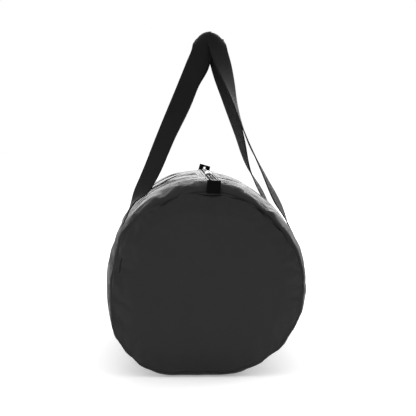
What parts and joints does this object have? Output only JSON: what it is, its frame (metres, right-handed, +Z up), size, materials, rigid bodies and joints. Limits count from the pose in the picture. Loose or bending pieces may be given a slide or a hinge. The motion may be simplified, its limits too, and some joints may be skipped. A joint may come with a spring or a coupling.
{
  "type": "duffel bag",
  "caption": "Round barrel duffel bag in thin cloth with flat end panels, a lengthwise top zip, two long webbing handles and small end tabs.",
  "frame": {"origin": "on the floor, under the middle of the barrel", "axes": "+Y runs along the barrel from the front end to the rear end, +X is to the right of someone who faces the front end, +Z is up"},
  "size_m": [0.2924, 0.5553, 0.5183],
  "materials": {
    "shell_fabric": "thin coated nylon, satin, black",
    "binding_tape": "woven seam tape, matt black",
    "webbing": "flat woven nylon webbing, black",
    "tab_webbing": "narrow woven webbing, matt black",
    "thread": "bonded nylon thread, black",
    "zip_tape": "woven polyester zip tape, black",
    "zip_coil": "nylon monofilament, semi-matt black",
    "zip_metal": "nickel-plated die casting, bright"
  },
  "bodies": {
    "bag": {"band_stitches": "thread", "barrel_panel": "shell_fabric", "box_stitches": "thread", "end_binding_front": "binding_tape", "end_binding_rear": "binding_tape", "end_panel_front": "shell_fabric", "end_panel_rear": "shell_fabric", "strap_band_front": "webbing", "strap_band_rear": "webbing", "tab_eyelet": "zip_metal", "tab_front": "tab_webbing", "tab_rear": "tab_webbing", "zip_coil_left": "zip_coil", "zip_coil_right": "zip_coil", "zip_stitches": "thread", "zip_stops": "zip_metal", "zip_tape_left": "zip_tape", "zip_tape_right": "zip_tape"},
    "left_handle": {"handle_left": "webbing"},
    "right_handle": {"handle_right": "webbing"},
    "front_slider": {"slider_front": "zip_metal"},
    "rear_slider": {"slider_rear": "zip_metal"},
    "front_pull": {"pull_front": "zip_metal"},
    "rear_pull": {"pull_rear": "zip_metal"}
  },
  "joints": [
    {"name": "left_handle_fold", "type": "hinge", "parent": "bag", "child": "left_handle", "pos_m": [-0.1282, 0, 0.20997], "axis": [0, -1, 0], "range_deg": [0, 145]},
    {"name": "right_handle_fold", "type": "hinge", "parent": "bag", "child": "right_handle", "pos_m": [0.1282, 0, 0.20997], "axis": [0, 1, 0], "range_deg": [0, 145]},
    {"name": "front_slider_run", "type": "slide", "parent": "bag", "child": "front_slider", "axis": [0, -1, 0], "range_m": [0, 0.234]},
    {"name": "rear_slider_run", "type": "slide", "parent": "bag", "child": "rear_slider", "axis": [0, 1, 0], "range_m": [0, 0.234]},
    {"name": "front_pull_lift", "type": "hinge", "parent": "front_slider", "child": "front_pull", "pos_m": [0.00901, -0.0085, 0.28902], "axis": [-0.9981, 0, 0.061], "range_deg": [0, 135]},
    {"name": "rear_pull_lift", "type": "hinge", "parent": "rear_slider", "child": "rear_pull", "pos_m": [0.00901, 0.0085, 0.28902], "axis": [0.9981, 0, -0.061], "range_deg": [0, 135]}
  ]
}
